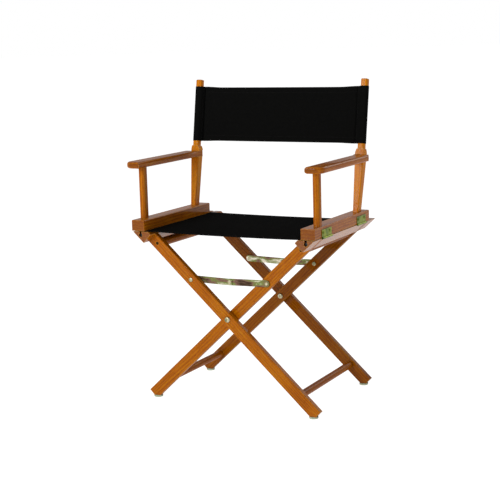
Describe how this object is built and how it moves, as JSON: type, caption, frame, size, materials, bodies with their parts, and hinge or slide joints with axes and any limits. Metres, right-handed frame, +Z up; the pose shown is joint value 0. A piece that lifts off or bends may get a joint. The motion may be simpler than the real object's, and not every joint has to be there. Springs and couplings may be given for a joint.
{
  "type": "director chair",
  "caption": "Folding director chair: two crossed wooden frames with folding steel braces, hinged arm frames, and a canvas seat and back.",
  "frame": {"origin": "on the floor under the middle of the open chair's bounding box, below the pivot bolts", "axes": "+X across the chair to the viewer's right when facing its front, -Y is the chair's front, +Z up"},
  "size_m": [0.582, 0.416, 0.8639],
  "materials": {
    "honey_hardwood": "clear gloss lacquer over honey-stained hardwood",
    "black_canvas": "woven cotton duck",
    "yellow_zinc": "yellow passivated zinc plate",
    "glide_plastic": "moulded translucent nylon",
    "rod_fibreglass": "smooth black pultruded rod"
  },
  "bodies": {
    "pivots": {"pivot_bolts": "yellow_zinc", "pivot_nuts": "yellow_zinc", "pivot_spacers": "yellow_zinc", "pivot_washers": "yellow_zinc"},
    "left_frame": {"left_frame_brace_rivets": "yellow_zinc", "left_frame_brace_spacers": "yellow_zinc", "left_frame_front_leg": "honey_hardwood", "left_frame_glides": "glide_plastic", "left_frame_lower_stretcher": "honey_hardwood", "left_frame_rear_leg": "honey_hardwood", "left_frame_stretcher_screws": "yellow_zinc", "left_frame_upper_stretcher": "honey_hardwood", "left_hinge_pins": "yellow_zinc", "left_rail_hinge_leaves": "yellow_zinc", "left_seat_rail": "honey_hardwood", "left_seat_rod": "rod_fibreglass", "left_seat_sleeve": "black_canvas"},
    "left_arm": {"left_base_rail": "honey_hardwood", "left_front_post": "honey_hardwood", "left_back_post": "honey_hardwood", "left_armrest": "honey_hardwood", "left_armrest_screw": "yellow_zinc", "left_arm_hinge_leaves": "yellow_zinc", "left_arm_hinge_screws": "yellow_zinc", "left_back_sleeve": "black_canvas"},
    "right_frame": {"right_frame_brace_rivets": "yellow_zinc", "right_frame_brace_spacers": "yellow_zinc", "right_frame_front_leg": "honey_hardwood", "right_frame_glides": "glide_plastic", "right_frame_lower_stretcher": "honey_hardwood", "right_frame_rear_leg": "honey_hardwood", "right_frame_stretcher_screws": "yellow_zinc", "right_frame_upper_stretcher": "honey_hardwood", "right_hinge_pins": "yellow_zinc", "right_rail_hinge_leaves": "yellow_zinc", "right_seat_rail": "honey_hardwood", "right_seat_rod": "rod_fibreglass", "right_seat_sleeve": "black_canvas"},
    "right_arm": {"right_base_rail": "honey_hardwood", "right_front_post": "honey_hardwood", "right_back_post": "honey_hardwood", "right_armrest": "honey_hardwood", "right_armrest_screw": "yellow_zinc", "right_arm_hinge_leaves": "yellow_zinc", "right_arm_hinge_screws": "yellow_zinc", "right_back_sleeve": "black_canvas"},
    "front_left_brace": {"front_left_brace_link": "yellow_zinc", "front_left_brace_rivet_half": "yellow_zinc"},
    "front_right_brace": {"front_right_brace_link": "yellow_zinc", "front_right_brace_rivet_half": "yellow_zinc"},
    "rear_left_brace": {"rear_left_brace_link": "yellow_zinc", "rear_left_brace_rivet_half": "yellow_zinc"},
    "rear_right_brace": {"rear_right_brace_link": "yellow_zinc", "rear_right_brace_rivet_half": "yellow_zinc"},
    "seat_cloth": {"seat_panel": "black_canvas"},
    "back_cloth": {"back_panel": "black_canvas"}
  },
  "joints": [
    {"name": "left_frame_fold", "type": "hinge", "parent": "pivots", "child": "left_frame", "pos_m": [0, 0, 0.245], "axis": [0, 1, 0], "range_deg": [0, 40], "deforming": ["seat_panel", "back_panel"]},
    {"name": "right_frame_fold", "type": "hinge", "parent": "pivots", "child": "right_frame", "pos_m": [0, 0, 0.245], "axis": [0, -1, 0], "range_deg": [0, 40]},
    {"name": "left_arm_hinge", "type": "hinge", "parent": "left_frame", "child": "left_arm", "pos_m": [-0.27353, 0, 0.475], "axis": [0, -1, 0], "range_deg": [0, 40]},
    {"name": "right_arm_hinge", "type": "hinge", "parent": "right_frame", "child": "right_arm", "pos_m": [0.27353, 0, 0.475], "axis": [0, 1, 0], "range_deg": [0, 40]},
    {"name": "front_left_brace_turn", "type": "hinge", "parent": "left_frame", "child": "front_left_brace", "pos_m": [-0.10824, 0, 0.34594], "axis": [0, 1, 0], "range_deg": [0, 39.14]},
    {"name": "front_right_brace_turn", "type": "hinge", "parent": "right_frame", "child": "front_right_brace", "pos_m": [0.10824, 0, 0.34594], "axis": [0, -1, 0], "range_deg": [0, 39.14]},
    {"name": "rear_left_brace_turn", "type": "hinge", "parent": "left_frame", "child": "rear_left_brace", "pos_m": [-0.10824, 0, 0.34594], "axis": [0, 1, 0], "range_deg": [0, 39.14]},
    {"name": "rear_right_brace_turn", "type": "hinge", "parent": "right_frame", "child": "rear_right_brace", "pos_m": [0.10824, 0, 0.34594], "axis": [0, -1, 0], "range_deg": [0, 39.14]},
    {"name": "seat_cloth_rise", "type": "slide", "parent": "pivots", "child": "seat_cloth", "axis": [0, 0, 1], "range_m": [0, 0.1049]},
    {"name": "back_cloth_rise", "type": "slide", "parent": "pivots", "child": "back_cloth", "axis": [0, 0, 1], "range_m": [0, 0.123]}
  ],
  "couplings": [
    {"joint": "right_frame_fold", "follows": "left_frame_fold", "ratio": 1},
    {"joint": "left_arm_hinge", "follows": "left_frame_fold", "ratio": 1},
    {"joint": "right_arm_hinge", "follows": "left_frame_fold", "ratio": 1},
    {"joint": "front_left_brace_turn", "follows": "left_frame_fold", "ratio": 0.97718},
    {"joint": "front_right_brace_turn", "follows": "left_frame_fold", "ratio": 0.97718},
    {"joint": "rear_left_brace_turn", "follows": "left_frame_fold", "ratio": 0.97718},
    {"joint": "rear_right_brace_turn", "follows": "left_frame_fold", "ratio": 0.97718},
    {"joint": "seat_cloth_rise", "follows": "left_frame_fold", "m_per_rad": 0.14887},
    {"joint": "back_cloth_rise", "follows": "left_frame_fold", "m_per_rad": 0.17477}
  ]
}
